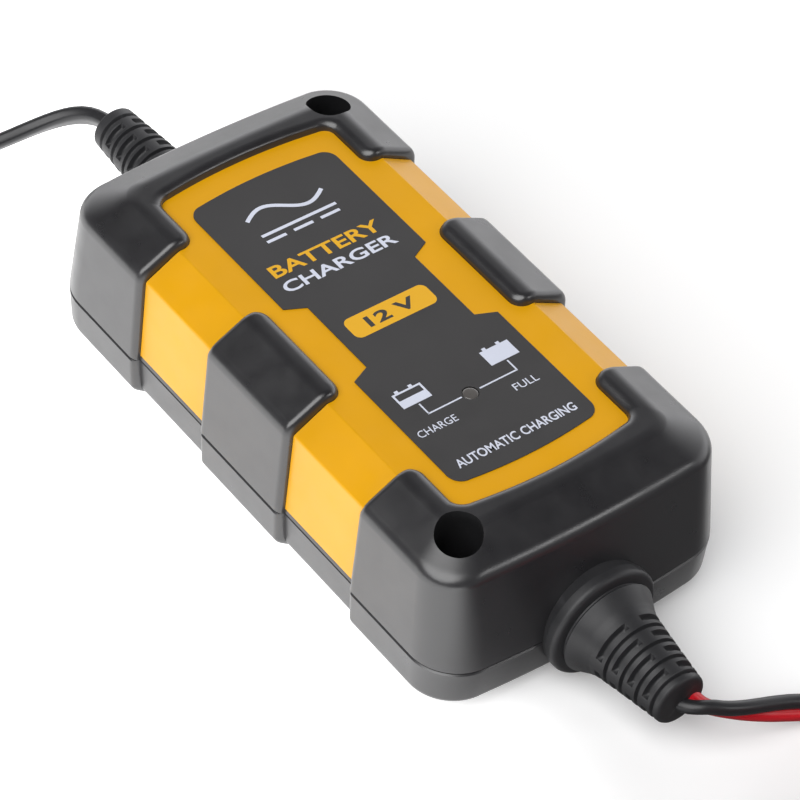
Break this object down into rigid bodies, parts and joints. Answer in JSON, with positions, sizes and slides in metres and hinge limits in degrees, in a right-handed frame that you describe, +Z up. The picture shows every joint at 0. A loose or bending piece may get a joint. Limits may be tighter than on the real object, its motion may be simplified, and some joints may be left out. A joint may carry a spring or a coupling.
{
  "type": "car battery charger",
  "caption": "Car battery charger: slim black and yellow housing with its electronics, a mains lead with a flat plug, and an output lead that splits to a red and a black battery clamp",
  "frame": {"origin": "bottom centre of the housing, on the surface that it rests on", "axes": "+X from the mains end to the clamp end, +Y towards the far long side, +Z up out of the labelled face"},
  "size_m": [0.4291, 0.0715, 0.0376],
  "materials": {
    "black_plastic": "semi-gloss moulded, fine grain",
    "yellow_plastic": "satin moulded",
    "label_film": "satin printed film",
    "clear_lens": "polished clear plastic",
    "zinc_steel": "bright zinc plate",
    "clamp_steel": "stamped, nickel plated",
    "circuit_board": "solder mask",
    "ferrite": "sintered ferrite",
    "winding_tape": "polyester tape",
    "capacitor_sleeve": "shrunk sleeve",
    "enamelled_copper": "enamelled wire",
    "film_capacitor": "moulded box",
    "fuse_glass": "clear",
    "black_epoxy": "moulded epoxy",
    "aluminium": "extruded",
    "led_epoxy": "diffused",
    "blue_pvc": "wire insulation",
    "brown_pvc": "wire insulation",
    "red_pvc": "soft, semi-gloss",
    "black_pvc": "soft, semi-gloss",
    "soft_pvc": "soft, satin",
    "strap": "woven hook and loop strap",
    "nickel_brass": "nickel plated"
  },
  "bodies": {
    "charger": {"top_shell": "black_plastic", "base_shell": "black_plastic", "face_panel": "yellow_plastic", "face_label": "label_film", "indicator_lens": "clear_lens", "housing_screw_1": "zinc_steel", "housing_screw_2": "zinc_steel", "housing_screw_3": "zinc_steel", "housing_screw_4": "zinc_steel", "main_board": "circuit_board", "board_screw_1": "zinc_steel", "board_screw_2": "zinc_steel", "transformer_core": "ferrite", "transformer_winding": "winding_tape", "mains_capacitor": "capacitor_sleeve", "output_capacitor": "capacitor_sleeve", "line_choke": "enamelled_copper", "line_film_capacitor": "film_capacitor", "fuse": "fuse_glass", "bridge_rectifier": "black_epoxy", "power_transistor": "black_epoxy", "output_rectifier": "black_epoxy", "heatsink": "aluminium", "heatsink_screw_1": "zinc_steel", "heatsink_screw_2": "zinc_steel", "controller_chip": "black_epoxy", "indicator_led": "led_epoxy", "mains_inner_lead_1": "blue_pvc", "mains_inner_lead_2": "brown_pvc", "clamp_inner_lead_red": "red_pvc", "clamp_inner_lead_black": "black_pvc", "mains_strain_relief": "soft_pvc", "mains_cord": "soft_pvc", "mains_coil": "soft_pvc", "mains_coil_tie": "strap", "mains_cord_tail": "soft_pvc", "mains_plug_body": "soft_pvc", "mains_plug_pin_1": "nickel_brass", "mains_plug_pin_2": "nickel_brass", "clamp_strain_relief": "soft_pvc", "clamp_lead": "soft_pvc", "clamp_coil": "soft_pvc", "clamp_coil_tie": "strap", "clamp_lead_end": "soft_pvc", "black_tail": "black_pvc", "red_tail": "red_pvc", "red_clamp_fixed_half": "clamp_steel", "red_clamp_fixed_grip": "red_pvc", "red_clamp_pin": "zinc_steel", "red_clamp_spring": "zinc_steel", "black_clamp_fixed_half": "clamp_steel", "black_clamp_fixed_grip": "black_pvc", "black_clamp_pin": "zinc_steel", "black_clamp_spring": "zinc_steel"},
    "red_clamp_lever": {"red_clamp_moving_half": "clamp_steel", "red_clamp_moving_grip": "red_pvc"},
    "black_clamp_lever": {"black_clamp_moving_half": "clamp_steel", "black_clamp_moving_grip": "black_pvc"}
  },
  "joints": [
    {"name": "red_clamp_pivot", "type": "hinge", "parent": "charger", "child": "red_clamp_lever", "pos_m": [0.1745, 0.0165, 0.0193], "axis": [0, 0, 1], "range_deg": [0, 33], "stiffness_Nm_per_rad": 0.3, "springref_deg": -28.65, "deforming": ["red_clamp_spring"]},
    {"name": "black_clamp_pivot", "type": "hinge", "parent": "charger", "child": "black_clamp_lever", "pos_m": [0.1745, -0.0165, 0.0193], "axis": [0, 0, -1], "range_deg": [0, 33], "stiffness_Nm_per_rad": 0.3, "springref_deg": -28.65, "deforming": ["black_clamp_spring"]}
  ]
}
